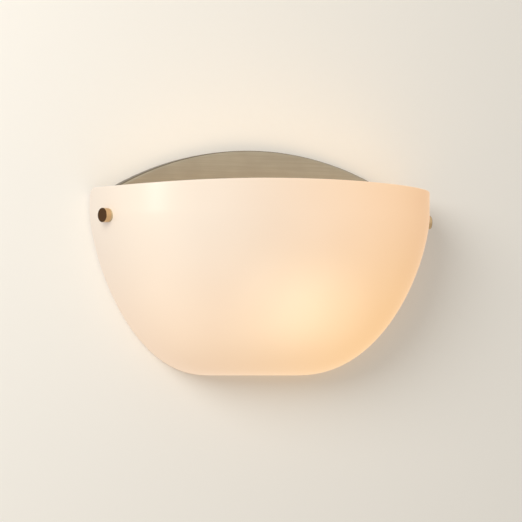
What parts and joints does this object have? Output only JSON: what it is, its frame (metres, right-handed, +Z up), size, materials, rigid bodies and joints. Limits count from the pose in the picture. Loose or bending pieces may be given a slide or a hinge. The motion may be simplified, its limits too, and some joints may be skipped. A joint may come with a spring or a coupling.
{
  "type": "wall sconce",
  "caption": "Uplighter wall light: a wide opal glass pocket shade clamped by side knobs in front of an arched satin metal backplate, with a lamp lying across inside.",
  "frame": {"origin": "centre of the wall box, on the wall plane, midway between the crossbar's two slots", "axes": "+Z up, +X right as seen from the room, +Y into the wall"},
  "size_m": [0.3408, 0.102, 0.203],
  "materials": {
    "opal_glass": "satin",
    "satin_nickel": "satin",
    "knob_nickel": "satin",
    "zinc_steel": "zinc plated",
    "rivet_steel": "plated",
    "green_screw": "gloss",
    "insulation": "matte",
    "nylon": "matte",
    "fibre": "matte",
    "brass_part": "plain",
    "porcelain": "gloss",
    "cap_aluminium": "plain",
    "black_glass": "gloss",
    "frosted_glass": "frosted",
    "clear_glass": "gloss",
    "tungsten": "plain"
  },
  "bodies": {
    "fixture": {"glass_shade": "opal_glass", "backplate": "satin_nickel", "crossbar": "zinc_steel", "insulation_pad": "insulation", "lead_grommet": "nylon", "ground_screw": "green_screw", "backplate_screws": "satin_nickel", "left_arm": "satin_nickel", "right_arm": "satin_nickel", "arm_rivets": "rivet_steel", "left_bush": "brass_part", "right_bush": "brass_part", "left_inner_washer": "fibre", "right_inner_washer": "fibre", "lampholder_bracket": "zinc_steel", "bracket_rivets": "rivet_steel", "lampholder_body": "porcelain", "lampholder_screws": "zinc_steel", "lampholder_shell": "brass_part", "lampholder_contact": "brass_part"},
    "left_washer": {"left_outer_washer": "fibre"},
    "left_knob": {"left_knob": "knob_nickel", "left_stud": "zinc_steel"},
    "right_washer": {"right_outer_washer": "fibre"},
    "right_knob": {"right_knob": "knob_nickel", "right_stud": "zinc_steel"},
    "lamp_tip": {"lamp_contact": "brass_part"},
    "lamp": {"lamp_insulator": "black_glass", "lamp_cap": "cap_aluminium", "lamp_envelope": "frosted_glass", "lamp_stem": "clear_glass", "lamp_filament": "tungsten"}
  },
  "joints": [
    {"name": "left_knob_travel", "type": "slide", "parent": "fixture", "child": "left_washer", "axis": [-0.9833, -0.1817, 0], "range_m": [0, 0.0096]},
    {"name": "left_knob_turn", "type": "hinge", "parent": "left_washer", "child": "left_knob", "pos_m": [-0.16229, -0.033, 0.0255], "axis": [-0.9833, -0.1817, 0], "range_deg": [0, 4320]},
    {"name": "right_knob_travel", "type": "slide", "parent": "fixture", "child": "right_washer", "axis": [0.9833, -0.1817, 0], "range_m": [0, 0.0096]},
    {"name": "right_knob_turn", "type": "hinge", "parent": "right_washer", "child": "right_knob", "pos_m": [0.16229, -0.033, 0.0255], "axis": [0.9833, -0.1817, 0], "range_deg": [0, 4320]},
    {"name": "lamp_travel", "type": "slide", "parent": "fixture", "child": "lamp_tip", "axis": [1, 0, 0], "range_m": [0, 0.01633]},
    {"name": "lamp_turn", "type": "hinge", "parent": "lamp_tip", "child": "lamp", "pos_m": [-0.069, -0.043, -0.051], "axis": [1, 0, 0], "range_deg": [0, 1620]}
  ],
  "couplings": [
    {"joint": "left_knob_travel", "follows": "left_knob_turn", "m_per_rad": 0.00012732},
    {"joint": "right_knob_travel", "follows": "right_knob_turn", "m_per_rad": 0.00012732},
    {"joint": "lamp_travel", "follows": "lamp_turn", "m_per_rad": 0.00057751}
  ]
}
